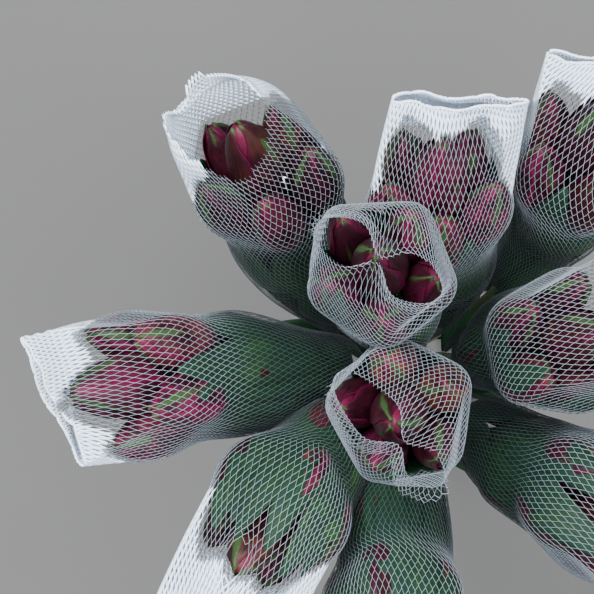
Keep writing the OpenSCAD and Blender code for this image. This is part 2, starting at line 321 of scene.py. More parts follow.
class Skin:
    """The surface that a stretched sleeve takes over its buds: rings of points up the sleeve."""

    STATIONS = 150  # rings from the neck to the mouth
    WAYS = 120  # directions in which a ring's reach is worked out
    ROUND = 144  # points round a ring
    FULL = 2.1  # where the buds are fullest, as a place on the sleeve's path
    GAP = 1.9 * MM  # from a bud to the net
    THIN = 3  # a mouth thinner than this is flat as far back as its shortest side, in millimetres
    SMOOTH, SOFTNESS = 9, 3.2  # how many stations away are averaged, and the spread of their weights
    PINCH_FROM, PINCH_WIDTH = 2.75, 7 * MM  # where a pinch starts on the path, and how wide it is
    CUFF_BEND, CUFF_TURN, CUFF_REACH = 1.7 * MM, math.radians(150), 18 * MM

    def __init__(self, index):
        head, path = HEADS[index], sleeve_path(index)
        self.index, self.head = index, head
        beyond = head.extra * MM / np.linalg.norm(path[3] - path[2])
        self.u = u = np.linspace(0, 3 + beyond, self.STATIONS)
        c, t = along(path, np.minimum(u, 3)), headings(path, np.minimum(u, 3))
        c = c + np.maximum(u - 3, 0)[:, None] * np.linalg.norm(path[3] - path[2]) * t
        flat = np.array([-math.sin(facing(index)), math.cos(facing(index)), 0])
        e1 = unit(flat - (t @ flat)[:, None] * t)
        self.c, self.t, self.e1, self.e2 = c, t, e1, np.cross(t, e1)
        self.s = np.concatenate([[0], np.cumsum(np.linalg.norm(np.diff(c, axis=0), axis=1))])
        self.length = self.s[-1]
        self.seats = bud_seats(index)
        self.rings, self.out = self._rings(self._support())
        self._pinch()
        self.girth = np.linalg.norm(np.diff(self.rings, axis=1), axis=2).sum(1)
        self._roll_over()

    def _support(self):
        """How far the sleeve reaches in each direction at each station."""
        head, u, index = self.head, self.u, self.index
        way = np.arange(self.WAYS) * TAU / self.WAYS
        cos, sin = np.cos(way), np.sin(way)
        neck, belly = 8, 0.80 * head.wide
        core = MM * np.interp(u, [0, 0.5, 1, 1.4, self.FULL, 2.6, 3], [
            neck, (neck + head.top_r) / 2, head.top_r, belly, belly, 4, 1])
        wobble = ripples(index * 7 + 3)
        lumps = 1 + 0.05 * np.sin(2 * way[None, :] + 6 * u[:, None] + index) \
            + 0.02 * wobble(u[:, None] * 0.1, way[None, :] / TAU)
        support = core[:, None] * lumps
        for seat in self.seats:
            support = np.maximum(support, self._bud_support(seat, cos, sin))
        # past the fullest part of the buds the net runs straight to its mouth, or over a bud's tip
        turn = math.radians(head.turn)
        mouth = np.hypot(head.mouth_w * MM * np.cos(way - turn), head.mouth_t * MM * np.sin(way - turn))
        start = np.searchsorted(u, self.FULL)
        flat_from = u[-1]
        if head.mouth_t < self.THIN:
            flat_from = np.interp(self.length - head.slant * MM, self.s, u)
        share = np.minimum((u[start:] - u[start]) / (flat_from - u[start]), 1)[:, None]
        ruled = (1 - share) * support[start][None, :] + share * mouth[None, :]
        support[start:] = np.maximum(ruled, support[start:])
        support[-1] = np.minimum(support[-1], 1.15 * mouth + 2 * MM)
        kernel = np.exp(-0.5 * (np.arange(-self.SMOOTH, self.SMOOTH + 1) / self.SOFTNESS) ** 2)
        kernel /= kernel.sum()
        padded = np.pad(support, ((self.SMOOTH, self.SMOOTH), (0, 0)), mode="reflect", reflect_type="odd")
        smooth = np.stack([np.convolve(padded[:, k], kernel, mode="valid") for k in range(self.WAYS)], 1)
        return np.maximum(smooth, 0.985 * support)

    def _bud_support(self, seat, cos, sin):
        """The same for one bud, and -1 at the stations that it doesn't reach."""
        across = np.einsum("ij,j->i", self.t, seat.axis)
        h = np.einsum("ij,ij->i", self.c - seat.foot, self.t) / across
        inside = (h > 0) & (h < seat.length)
        centre = seat.foot + h[:, None] * seat.axis - self.c
        r = seat.radius * bud_profile(h / seat.length) + self.GAP
        x, y = np.einsum("ij,ij->i", centre, self.e1), np.einsum("ij,ij->i", centre, self.e2)
        reach = x[:, None] * cos + y[:, None] * sin + r[:, None]
        return np.where(inside[:, None], reach, -1)

    def _rings(self, support):
        """Closed convex rings from the support distances, with points evenly spaced along them."""
        way = np.arange(self.WAYS + 1) * TAU / self.WAYS
        slope = (np.roll(support, -1, 1) - np.roll(support, 1, 1)) / (2 * TAU / self.WAYS)
        support, slope = (np.concatenate([row, row[:, :1]], 1) for row in (support, slope))
        x = support * np.cos(way) - slope * np.sin(way)
        y = support * np.sin(way) + slope * np.cos(way)
        step = np.hypot(np.diff(x, axis=1), np.diff(y, axis=1)) + 1e-7
        run = np.concatenate([np.zeros((len(x), 1)), np.cumsum(step, 1)], 1)
        even = np.linspace(0, 1, self.ROUND + 1)
        rings, out = np.empty((len(x), self.ROUND + 1, 3)), np.empty((len(x), self.ROUND + 1, 3))
        for k in range(len(x)):
            want = even * run[k, -1]
            px, py, turn = (np.interp(want, run[k], row) for row in (x[k], y[k], way))
            rings[k] = self.c[k] + px[:, None] * self.e1[k] + py[:, None] * self.e2[k]
            out[k] = np.cos(turn)[:, None] * self.e1[k] + np.sin(turn)[:, None] * self.e2[k]
        return rings, out

    def _pinch(self):
        """Draws the two sides of the mouth together in one place."""
        turn = math.radians(self.head.turn)
        for k, u in enumerate(self.u):
            amount = self.head.pinch * float(smoothstep(self.PINCH_FROM, self.u[-1], u))
            if amount:
                long = math.cos(turn) * self.e1[k] + math.sin(turn) * self.e2[k]
                short = np.cross(self.t[k], long)
                rel = self.rings[k] - self.c[k]
                near = np.exp(-(((rel @ long) - self.head.pinch_at * MM) / self.PINCH_WIDTH) ** 2)
                self.rings[k] -= (0.92 * amount * near * (rel @ short))[:, None] * short

    def _roll_over(self):
        """Adds the rings past the mouth that a turned-out cuff follows."""
        bend, far = self.CUFF_BEND, self.CUFF_TURN
        steps = np.linspace(0, self.CUFF_REACH, 19)[1:]
        mouth, out, t = self.rings[-1], self.out[-1], self.t[-1]
        turned = np.minimum(steps / bend, far)
        beyond = np.maximum(steps - bend * far, 0)
        sideways = bend * (1 - np.cos(turned)) + beyond * math.sin(far)
        upward = bend * np.sin(turned) + beyond * math.cos(far)
        extra = mouth[None] + sideways[:, None, None] * out[None] + upward[:, None, None] * t
        self.all_rings = np.concatenate([self.rings, extra])
        self.all_s = np.concatenate([self.s, self.length + steps])
        self.all_c = np.concatenate([self.c, self.c[-1] + upward[:, None] * t])

    def spot(self, s, phi, inset=0.0):
        """Points at distance s up the sleeve and share phi of a turn round it, inset from the surface."""
        s, phi = np.asarray(s, float), np.asarray(phi, float) % 1.0
        row = np.clip(np.interp(s, self.all_s, np.arange(len(self.all_s))), 0, len(self.all_s) - 1.001)
        col = phi * self.ROUND
        i, j = row.astype(int), np.minimum(col.astype(int), self.ROUND - 1)
        a, b = (row - i)[..., None], (col - j)[..., None]
        r = self.all_rings
        point = (r[i, j] * (1 - a) * (1 - b) + r[i + 1, j] * a * (1 - b)
                 + r[i, j + 1] * (1 - a) * b + r[i + 1, j + 1] * a * b)
        centre = self.all_c[i] * (1 - a) + self.all_c[i + 1] * a
        inward = centre - point
        far = np.linalg.norm(inward, axis=-1, keepdims=True) + 1e-9
        inset = np.broadcast_to(np.asarray(inset, float), s.shape)[..., None]
        return point + inward * np.minimum(inset / far, 0.92)

    def girth_at(self, s):
        """Distance round the sleeve at s up it."""
        return np.interp(s, self.s, self.girth)


SKINS = {}


def skin_of(index):
    """The skin of one head, worked out once."""
    if index not in SKINS:
        SKINS[index] = Skin(index)
    return SKINS[index]


# ---------------------------------------------------------------- materials


class Look:
    """A material, and short ways to build its nodes. An input may be a socket or a constant."""

    def __init__(self, name):
        self.material = bpy.data.materials.new(name)
        self.material.use_nodes = True
        self.nodes, self.links = self.material.node_tree.nodes, self.material.node_tree.links
        self.shader = self.nodes["Principled BSDF"]

    def put(self, socket, value):
        """Feeds a socket from another one, or gives it a plain value."""
        if isinstance(value, bpy.types.NodeSocket):
            self.links.new(value, socket)
        else:
            socket.default_value = value if isinstance(value, float) else (*value[:3], 1)

    def where(self):
        """The place on the object, in metres."""
        return self.nodes.new("ShaderNodeTexCoord").outputs["Object"]

    def surface(self, uv_map):
        """The piece's own UV map, and its two coordinates."""
        uv, split = self.nodes.new("ShaderNodeUVMap"), self.nodes.new("ShaderNodeSeparateXYZ")
        uv.uv_map = uv_map
        self.links.new(uv.outputs[0], split.inputs[0])
        return uv.outputs[0], split.outputs[0], split.outputs[1]

    def attribute(self, name):
        """A value that the mesh carries at its vertices."""
        node = self.nodes.new("ShaderNodeAttribute")
        node.attribute_name = name
        return node.outputs["Fac"]

    def mixed(self, factor, a, b, blend="MIX"):
        """Colour a changed to colour b by a factor."""
        node = self.nodes.new("ShaderNodeMix")
        node.data_type, node.blend_type = "RGBA", blend
        for socket, value in ((node.inputs[0], factor), (node.inputs[6], a), (node.inputs[7], b)):
            self.put(socket, value)
        return node.outputs[2]

    def ramp(self, value, low, high):
        """Maps a value smoothly so that low gives 0 and high gives 1."""
        node = self.nodes.new("ShaderNodeMapRange")
        node.interpolation_type = "SMOOTHSTEP"
        node.inputs[1].default_value, node.inputs[2].default_value = low, high
        self.links.new(value, node.inputs[0])
        return node.outputs[0]

    def maths(self, kind, a, b=0.0):
        node = self.nodes.new("ShaderNodeMath")
        node.operation = kind
        self.put(node.inputs[0], a)
        self.put(node.inputs[1], b)
        return node.outputs[0]

    def plus(self, a, b):
        return self.maths("ADD", a, b)

    def times(self, a, b):
        return self.maths("MULTIPLY", a, b)

    def minus(self, a, b):
        return self.maths("SUBTRACT", a, b)

    def noise(self, vector, scale, detail=4.0, rough=0.55):
        node = self.nodes.new("ShaderNodeTexNoise")
        for name, value in (("Scale", scale), ("Detail", detail), ("Roughness", rough), ("Vector", vector)):
            self.put(node.inputs[name], value)
        return node.outputs["Fac"]

    def stretched(self, vector, scale):
        """The coordinates scaled, so that a pattern runs along one of them."""
        node = self.nodes.new("ShaderNodeMapping")
        node.inputs["Scale"].default_value = scale
        self.links.new(vector, node.inputs["Vector"])
        return node.outputs[0]

    def dressed(self, colour, rough, bump=None, **inputs):
        """The finished material, with a bump's height, strength and distance in metres."""
        self.put(self.shader.inputs["Base Color"], colour)
        self.put(self.shader.inputs["Roughness"], rough)
        for name, value in inputs.items():
            self.put(self.shader.inputs[name.replace("_", " ")], value)
        if bump:
            node = self.nodes.new("ShaderNodeBump")
            for name, value in zip(("Height", "Strength", "Distance"), bump):
                self.put(node.inputs[name], value)
            self.links.new(node.outputs[0], self.shader.inputs["Normal"])
        return self.material


def net_material(net):
    """Elastic yarn: white where it is relaxed; where it is stretched it is thinner and greyed with painted
    shade, darkest over the leaves and less dark over the buds.
    """
    look = Look("net_yarn")
    where = look.where()
    cloudy = look.noise(where, 60.0, 2.0)
    fuzz = look.noise(where, 5200.0, 2.0)
    plump = look.attribute("fluff")
    # painted shade: these masks, read from the yarn's thickness, dim the stretched yarn to about a tenth of
    # its colour over the leaves and to under a third over the buds; only the relaxed free ends keep the
    # full colour
    leaf_to_bud_shade_mask = look.ramp(plump, 0.0, net.bud_gain)
    relaxed = look.ramp(plump, 1.2 * net.bud_gain, 0.6 * net.fluff)
    painted_shade_over_leaves, painted_shade_over_buds = ([x * share for x in net.colour] for share in (0.105, 0.29))
    shade = look.mixed(leaf_to_bud_shade_mask, painted_shade_over_leaves, painted_shade_over_buds)
    shade = look.mixed(relaxed, shade, net.colour)
    shade = look.mixed(cloudy, shade, look.mixed(0.9, (0, 0, 0), shade))
    shade = look.mixed(0.08, shade, fuzz, "MULTIPLY")
    return look.dressed(shade, 0.55, (fuzz, 0.4, 0.2 * MM), Specular_IOR_Level=0.3)


def tepal_material(colours):
    """Satin tepal: dark body with fine streaks, bright edges, a green midrib and a green tip."""
    look = Look("tepal")
    uv, across, up = look.surface("tepal")
    blush = look.attribute("blush")
    gold = look.attribute("gold")
    where = look.where()
    streak = look.noise(look.stretched(uv, (46.0, 3.0, 1.0)), 1.0, 6.0, 0.7)
    patch = look.noise(where, 90.0, 3.0)
    fine = look.noise(where, 900.0, 3.0)
    off = look.maths("ABSOLUTE", look.minus(across, 0.5))
    body = look.mixed(look.ramp(streak, 0.42, 0.72), colours.body, (0.036, 0.005, 0.012))
    warm = look.mixed(patch, colours.edge, (0.17, 0.016, 0.062))
    mottle = look.ramp(look.plus(patch, look.times(streak, 0.5)), 0.6, 0.9)
    body = look.mixed(look.times(blush, mottle), body, warm)
    sunny = look.mixed(look.ramp(streak, 0.35, 0.7), colours.gold, (0.30, 0.035, 0.04))
    body = look.mixed(look.times(gold, mottle), body, sunny)
    rim = look.plus(look.plus(off, look.times(streak, 0.10)), look.times(patch, 0.12))
    rim = look.ramp(rim, 0.49, 0.60)
    wine = look.mixed(look.ramp(blush, 0.0, 0.5), [0.38 * x for x in colours.edge], colours.edge)
    coloured = look.mixed(rim, body, wine)
    # the green streak widens from a line at the belly to the whole tip
    width = look.times(look.ramp(up, 0.45, 1.0), 0.16)
    width = look.plus(width, look.times(patch, 0.14))
    reach = look.minus(width, off)
    reach = look.plus(reach, look.times(streak, 0.16))
    # on many tepals the streak is broken or missing
    whim = look.noise(where, 38.0, 1.0)
    reach = look.minus(reach, look.times(look.ramp(whim, 0.50, 0.64), 0.22))
    rib = look.ramp(reach, 0.115, 0.20)
    foot = look.ramp(up, 0.16, 0.02)
    tip = look.ramp(up, 0.955, 0.99)
    green = look.maths("MAXIMUM", look.maths("MAXIMUM", rib, foot), tip)
    leafy = look.mixed(fine, colours.green, (0.038, 0.078, 0.022))
    coloured = look.mixed(look.times(green, 0.92), coloured, leafy)
    veins = look.plus(look.times(streak, 0.8), fine)
    return look.dressed(coloured, 0.42, (veins, 0.35, 0.4 * MM), Specular_IOR_Level=0.16)


def leaf_material(colour):
    """Dark green blade with parallel veins, a paler midrib and a dusty bloom."""
    look = Look("leaf_blade")
    uv, across, _ = look.surface("leaf")
    where = look.where()
    vein = look.noise(look.stretched(uv, (60.0, 1.4, 1.0)), 1.0, 3.0)
    patch = look.noise(where, 45.0, 4.0)
    bright = look.attribute("bright")
    fresh = look.mixed(bright, colour, (0.028, 0.085, 0.018))
    green = look.mixed(look.ramp(patch, 0.35, 0.7), fresh, [1.5 * x for x in colour])
    green = look.mixed(look.ramp(vein, 0.45, 0.7), green, [2.0 * x for x in colour])
    off = look.maths("ABSOLUTE", look.minus(across, 0.5))
    rib = look.ramp(off, 0.035, 0.0)
    green = look.mixed(look.times(rib, 0.5), green, (0.03, 0.07, 0.02))
    return look.dressed(green, 0.5, (look.plus(vein, rib), 0.5, 0.5 * MM), Specular_IOR_Level=0.12)


def stalk_material(name, colour, flush):
    """Green stem or stalk, ribbed along its length, with a red flush here and there."""
    look = Look(name)
    where = look.where()
    ribs = look.noise(look.stretched(where, (1400.0, 1400.0, 30.0)), 1.0, 2.0)
    patch = look.noise(where, 28.0, 5.0)
    speck = look.noise(where, 1300.0, 2.0)
    shade = look.mixed(look.ramp(ribs, 0.35, 0.65), [0.72 * x for x in colour], colour)
    shade = look.mixed(look.ramp(patch, 0.50, 0.74), shade, flush)
    shade = look.mixed(0.3, shade, speck, "MULTIPLY")
    return look.dressed(shade, 0.4, (ribs, 0.4, 0.3 * MM), Coat_Weight=0.1)


def band_material():
    """Tan rubber, dull, with a fine chalky bloom and dirty scuffs."""
    look = Look("band_rubber")
    where = look.where()
    patch = look.noise(where, 240.0, 5.0)
    grain = look.noise(where, 2600.0, 3.0)
    shade = look.mixed(patch, (0.17, 0.10, 0.045), (0.24, 0.16, 0.08))
    shade = look.mixed(0.35, shade, grain, "MULTIPLY")
    return look.dressed(shade, 0.6, (grain, 0.35, 0.2 * MM))


def floor_material(colour):
    """Plain matt floor, very slightly uneven."""
    look = Look("studio_floor")
    where = look.where()
    grain = look.noise(where, 14.0, 3.0)
    shade = look.mixed(grain, [0.985 * x for x in colour], [min(1, 1.015 * x) for x in colour])
    return look.dressed(shade, 0.9)


# ---------------------------------------------------------------- net sleeves


# Steps of the lattice's grid from one row of cells to the next
ROW_PITCH = 1.5


def lattice(columns, rows):
    """A flat sheet of hexagons: a triangulated grid whose every third point is dissolved."""
    bm = bmesh.new()
    bm.verts.layers.float.new("fluff")
    bmesh.ops.create_grid(bm, x_segments=columns, y_segments=rows, size=0.5)
    hearts_inside, hearts_on_edge = [], []
    for v in bm.verts:
        i, j = round((v.co.x + 0.5) * columns), round((v.co.y + 0.5) * rows)
        v.co = (i + 0.5 * (j % 2), j, 0)
        if (i - j // 2 - j) % 3 == 0:
            (hearts_on_edge if v.is_boundary else hearts_inside).append(v)
    bmesh.ops.triangulate(bm, faces=bm.faces[:], quad_method="SHORT_EDGE")
    bmesh.ops.delete(bm, geom=hearts_on_edge, context="VERTS")
    bmesh.ops.dissolve_verts(bm, verts=hearts_inside)
    return bm


def row_heights(skin, net, reach):
    """Distance up the sleeve of each row of cells, and the axial run of its slanted strands."""
    rows, s = [], 0.4 * MM
    while s < reach + 4 * MM:
        cell = float(skin.girth_at(min(s, skin.length))) / net.cells_round
        pull = float(smoothstep(net.relaxed * 0.8, net.relaxed * 1.6, cell))
        strand = net.strand * (0.84 + 0.16 * pull)
        run = math.sqrt(max(strand**2 - (cell / 2) ** 2, (0.3 * strand) ** 2))
        rows.append((s, run))
        s += run + net.pillar
    return rows


# The net is cut away within this share of a hole's size, and is pushed aside out to the second share
CUT = 0.5
SPREAD = 1.75


def hole_offsets(hole, skin, s, phi):
    """Position relative to a hole as shares of its half length and half width."""
    aside = ((phi - hole.angle / 360 + 0.5) % 1.0 - 0.5) * skin.girth_at(hole.up * MM)
    return (s - hole.up * MM) / (hole.half_l * MM), aside / (hole.half_w * MM)


def parted(holes, skin, s, phi):
    """The same places, with the net pushed aside round each hole."""
    for hole in holes:
        a, b = hole_offsets(hole, skin, s, phi)
        far = np.hypot(a, b)
        near = (far < SPREAD) & (far > 1e-6)
        pushed = 1 + (far - CUT) * (SPREAD - 1) / (SPREAD - CUT)
        grow = np.where(near, np.maximum(pushed, 0.2) / np.maximum(far, 1e-6), 1)
        s = s + a * (grow - 1) * hole.half_l * MM
        phi = phi + b * (grow - 1) * hole.half_w * MM / skin.girth_at(hole.up * MM)
    return s, phi


def even_places(verts, rows, net):
    """Distance up the sleeve and share of a turn round it for each corner of the knit."""
    starts, runs = np.array(rows).T
    grid = np.array([v.co[:2] for v in verts])
    k = np.clip(np.floor(grid[:, 0] / ROW_PITCH + 1e-6).astype(int), 0, len(rows) - 1)
    slanted = grid[:, 0] - ROW_PITCH * k >= ROW_PITCH / 2
    return starts[k] + np.where(slanted, runs[k], 0.0), grid[:, 1] / (2 * net.cells_round)


def cut_edge(skin, phi, cuffs, ragged):
    """How far up the sleeve its cut edge is: longer on one side and at a cuff, and never quite even."""
    head = skin.head
    long_side = math.radians(head.slant_at)
    cut = skin.length - head.slant * MM * (0.5 - 0.5 * np.cos(TAU * phi - long_side)) ** head.notch
    for cuff in cuffs:
        away = np.abs((phi - cuff.angle / 360 + 0.5) % 1 - 0.5) * 360
        cut = cut + cuff.length * MM * (1 - smoothstep(0.6 * cuff.reach, cuff.reach, away))
    nicked = np.concatenate([np.random.default_rng(skin.index + 40).uniform(0, 1, 26), [0.5]])
    nicks = np.interp(phi, np.linspace(0, 1, 27), nicked) ** 3
    return cut - nicks * (3.5 if ragged else 2.0) * MM


def sleeve(index, net, material):
    """One knitted net sleeve, drawn tight over its head."""
    skin = skin_of(index)
    cuffs = [c for c in CUFFS if c.head == index + 1]
    holes = [h for h in HOLES if h.head == index + 1]
    ragged = index + 1 in RAGGED
    rows = row_heights(skin, net, skin.length + max([c.length * MM for c in cuffs], default=0))
    bm = lattice(int(ROW_PITCH * len(rows)), 2 * net.cells_round)
    verts = bm.verts[:]
    s, phi = even_places(verts, rows, net)
    cut = cut_edge(skin, phi, cuffs, ragged)
    wander = smoothstep(0.0, 0.25, s / skin.length)
    s, phi = (s + 1.6 * MM * wander * ripples(index * 13 + 1)(s, phi),
              phi + 0.006 * wander * ripples(index * 13 + 5)(s, phi))
    place = {v: n for n, v in enumerate(verts)}
    gone = []
    for face in bm.faces:
        ids = [place[v] for v in face.verts]
        middle = s[ids].mean(), phi[ids].mean()
        over = middle[0] > cut[ids].mean() if ragged else (s[ids] > cut[ids] - 0.8 * MM).all()
        if over or any(math.hypot(*hole_offsets(hole, skin, *middle)) < CUT for hole in holes):
            gone.append(face)
    s, phi = parted(holes, skin, s, phi)
    if not ragged:
        s = np.minimum(s, cut)
    spots = skin.spot(s, phi)
    gain = yarn_gain(skin, net, s, spots)
    spots = spots + free_end_waves(skin, s, spots)
    fluff = bm.verts.layers.float["fluff"]
    for v, spot, amount in zip(verts, spots, gain):
        v.co = spot
        v[fluff] = amount
    bmesh.ops.delete(bm, geom=gone, context="FACES")
    bmesh.ops.remove_doubles(bm, verts=bm.verts, dist=0.05 * MM)
    bmesh.ops.delete(bm, geom=[v for v in bm.verts if not v.link_faces], context="VERTS")
    bmesh.ops.recalc_face_normals(bm, faces=bm.faces)
    stubs = [stub_of(v) for v in bm.verts if ragged and v.is_boundary and len(v.link_edges) == 2]
    bmesh.ops.wireframe(bm, faces=bm.faces[:], thickness=net.thickness, offset=0.0, use_replace=True,
                        use_boundary=True, use_even_offset=False)
    bm.normal_update()
    for v in bm.verts:
        v.co += 0.5 * v[fluff] * v.normal
    add_stubs(bm, stubs, net.thickness + 2 * net.bud_gain)
    piece = finished(f"net_{index + 1}", bm, material, f"net_sleeve_{index + 1}")
    return piece


def yarn_gain(skin, net, s, spots):
    """How much thicker the yarn is over the buds, and where the net is relaxed beyond their outline."""
    middle = np.interp(2.0, skin.u, skin.s)
    loose = smoothstep(1.5 * MM, 4.0 * MM, clearance(skin, spots))
    loose = loose * smoothstep(middle + 6 * MM, middle + 14 * MM, s) * (skin.index + 1 not in SNUG)
    return net.fluff * loose + net.bud_gain * smoothstep(0.42, 0.60, s / skin.length)


def clearance(skin, spots):
    """How far each point is from the outline of the nearest bud, looking straight down."""
    level = np.array([1, 1, 0])
    best = np.full(len(spots), 1.0)
    for seat in skin.seats:
        rel = (spots - seat.foot) * level
        axis = seat.axis * level
        length = seat.length * np.linalg.norm(axis)
        axis = unit(axis)
        h = rel @ axis
        beside = np.linalg.norm(rel - h[:, None] * axis, axis=1) - seat.radius * bud_profile(h / length)
        best = np.minimum(best, np.hypot(np.maximum(beside, 0), np.maximum(h - length, 0)))
    return best


def add_stubs(bm, stubs, thickness):
    """The short ends of yarn that stand out from a cut edge."""
    ends = bmesh.new()
    for spot, way in stubs:
        turn = way.to_track_quat("Z", "Y").to_matrix().to_4x4()
        bmesh.ops.create_cone(
            ends, cap_ends=True, segments=5, radius1=0.6 * thickness, radius2=0.3 * thickness,
            depth=1.3 * MM, matrix=Matrix.Translation(spot + 0.5 * MM * way) @ turn)
    mesh = bpy.data.meshes.new("stubs")
    ends.to_mesh(mesh)
    ends.free()
    bm.from_mesh(mesh)
    bpy.data.meshes.remove(mesh)


def stub_of(v):
    """Where a short end of yarn starts at the cut edge, and the way that it points."""
    ends = [edge.other_vert(v).co for edge in v.link_edges]
    way = v.co - sum(ends, Vector()) / len(ends)
    return v.co.copy(), (way.normalized() if way.length > 1e-7 else Vector((0, 0, 1)))


def free_end_waves(skin, s, spots):
    """Soft folds that bend both layers of the free end alike."""
    row = np.interp(s, skin.s, np.arange(len(skin.s)))
    i = row.astype(int)
    x = np.einsum("ij,ij->i", spots - skin.c[i], skin.e1[i])
    free = smoothstep(0.80, 1.0, s / skin.length) * (skin.index + 1 not in SNUG)
    seed = skin.index * 1.7
    wave = np.sin(x / (7 * MM) + seed) + 0.6 * np.sin(x / (3.6 * MM) + 2 * seed + s * 90)
    return (free * wave * 1.3 * MM)[:, None] * skin.e2[i]


# ---------------------------------------------------------------- buds


# How a tepal grows: the angle that it covers to each side, its twist, how far its lapping edge
# lifts, and how far that edge curls.
Habit = namedtuple("Habit", "half twist lift curl")
TEPALS = 3
TEPAL_THICK = 0.3 * MM


def tepal(bm, seat, e1, e2, start, tint, habit, layers):
    """One outer tepal of a closed bud, wrapped round it and lapped over its neighbour."""
    uv, blush_layer, gold_layer = layers
    foot, axis = Vector(seat.foot), Vector(seat.axis)
    faces, share = blade_grid(bm, uv, 9, 15)
    for v, (a, b) in share.items():
        side = 2 * a - 1
        narrow = 1 - 0.5 * float(smoothstep(0.68, 1.0, b))
        angle = start + side * habit.half * narrow + habit.twist * b
        swell = math.sin(math.pi * min(b, 0.97)) ** 0.5
        lap = (0.15 + (0.55 + habit.lift) * a) * MM * swell
        lap += habit.curl * MM * max(0, side) ** 3 * float(smoothstep(0.45, 0.85, b)) * swell
        keel = 0.5 * MM * math.exp(-((side / 0.16) ** 2)) * float(smoothstep(0.3, 0.9, b))
        r = seat.radius * float(bud_profile(0.02 + 0.965 * b)) + lap + keel
        h = seat.length * (0.01 + 0.985 * b) + 1.4 * keel * float(smoothstep(0.9, 1, b))
        h -= 1.6 * MM * side**2 * float(smoothstep(0.8, 1, b))
        v.co = seat.foot + seat.axis * h + r * (math.cos(angle) * e1 + math.sin(angle) * e2)
        v[blush_layer], v[gold_layer] = tint
    bm.normal_update()
    middle = min(faces, key=lambda f: abs((f.calc_center_median() - foot).dot(axis) - 0.5 * seat.length))
    outward = middle.calc_center_median() - foot
    if middle.normal.dot(outward - outward.dot(axis) * axis) < 0:
        bmesh.ops.reverse_faces(bm, faces=faces)
    return faces


def head_of_buds(index, material):
    """All the closed buds of one head: lapped tepals round a closed heart."""
    bm = bmesh.new()
    floats = bm.verts.layers.float
    layers = (bm.loops.layers.uv.new("tepal"), floats.new("blush"), floats.new("gold"))
    rng = np.random.default_rng(900 + index)
    skin = skin_of(index)
    skins = []
    for seat in skin.seats:
        e1 = unit(np.cross(seat.axis, [0.2, 0.9, 0.1]))
        e2 = np.cross(seat.axis, e1)
        tint = bud_tint(index, seat, rng)
        turn = rng.uniform(0, TAU)
        heart_of_bud(bm, seat, e1, e2, tint, layers)
        for k in range(TEPALS):
            habit = Habit(math.radians(rng.uniform(66, 84)), math.radians(rng.uniform(8, 34)),
                          rng.uniform(0, 0.5), rng.uniform(0, 1.1) ** 2)
            start = turn + TAU * k / TEPALS + rng.uniform(-0.15, 0.15)
            skins += tepal(bm, seat, e1, e2, start, tint, habit, layers)
    bmesh.ops.solidify(bm, geom=skins, thickness=TEPAL_THICK)
    return finished(f"head_{index + 1}", bm, material, f"buds_{index + 1}")


def heart_of_bud(bm, seat, e1, e2, tint, layers):
    """The closed inside of a bud, seen only between the tepals."""
    uv, blush_layer, gold_layer = layers
    turn = Matrix((e1, e2, seat.axis)).transposed().to_4x4()
    out = bmesh.ops.create_uvsphere(bm, u_segments=14, v_segments=12, radius=1.0)
    for v in out["verts"]:
        b = (v.co.z + 1) / 2
        around = math.hypot(v.co.x, v.co.y)
        r = seat.radius * float(bud_profile(0.03 + 0.94 * b)) - 0.35 * MM
        grow = r / around if around > 1e-5 else 0
        spot = (v.co.x * grow, v.co.y * grow, seat.length * (0.02 + 0.95 * b))
        v.co = Vector(seat.foot) + turn @ Vector(spot)
        v[blush_layer], v[gold_layer] = min(1, tint[0] + 0.3), tint[1]
        for loop in v.link_loops:
            loop[uv].uv = (0.9, 0.3 + 0.5 * b)


# The colours of each head's buds: the share of bright pink and how much it varies, then the share
# of gold, the gold added on one side, and the angle of that side round the head in degrees.
HEAD_TINTS = [
    (0.15, 0.35, 0.00, 0.15, 250), (0.20, 0.35, 0.00, 0.10, 60), (0.20, 0.30, 0.00, 0.10, 0),
    (0.25, 0.25, 0.00, 0.00, 0), (0.15, 0.30, 0.00, 0.60, 130), (0.10, 0.25, 0.00, 0.20, 90),
    (0.55, 0.45, 0.00, 0.12, 150), (0.15, 0.30, 0.03, 0.22, 90), (0.15, 0.25, 0.10, 0.20, 0),
    (0.20, 0.35, 0.00, 0.15, 0),
]


def bud_tint(index, seat, rng):
    """The shares of pink and gold in one bud."""
    pink, pink_range, gold, accent, accent_at = HEAD_TINTS[index]
    skin = skin_of(index)
    # the small bud low in the head is plain
    if seat.length < 0.8 * max(other.length for other in skin.seats):
        pink, pink_range, gold, accent = 0.05, 0.05, 0.0, 0.0
    k = int(np.searchsorted(skin.u, 2.0))
    away = seat.foot + 0.6 * seat.length * seat.axis - skin.c[k]
    angle = math.atan2(away @ skin.e2[k], away @ skin.e1[k])
    gold += accent * max(0, math.cos(angle - math.radians(accent_at))) ** 3 + 0.06 * rng.uniform(-1, 1)
    return tuple(float(np.clip(x, 0, 1)) for x in (pink + pink_range * rng.uniform(-1, 1), gold))


# ---------------------------------------------------------------- leaves


def leaf_width(v):
    """Width of a leaf at v along it, as a share of its widest."""
    return max(0.05, math.sin(math.pi * (0.04 + 0.94 * v)) ** 0.85)


# A leaf's place: where it starts and ends up the sleeve, its angle round the sleeve in degrees and
# how much that changes, half its width, its depth under the net, and how bright it is.
Blade = namedtuple("Blade", "base reach angle drift half inset bright")

# How far the leaves on the upper side run past the middle of the buds, in millimetres
LEAF_OVER = [-14, -8, -8, -24, -18, 2, -16, 18, 30, 14]

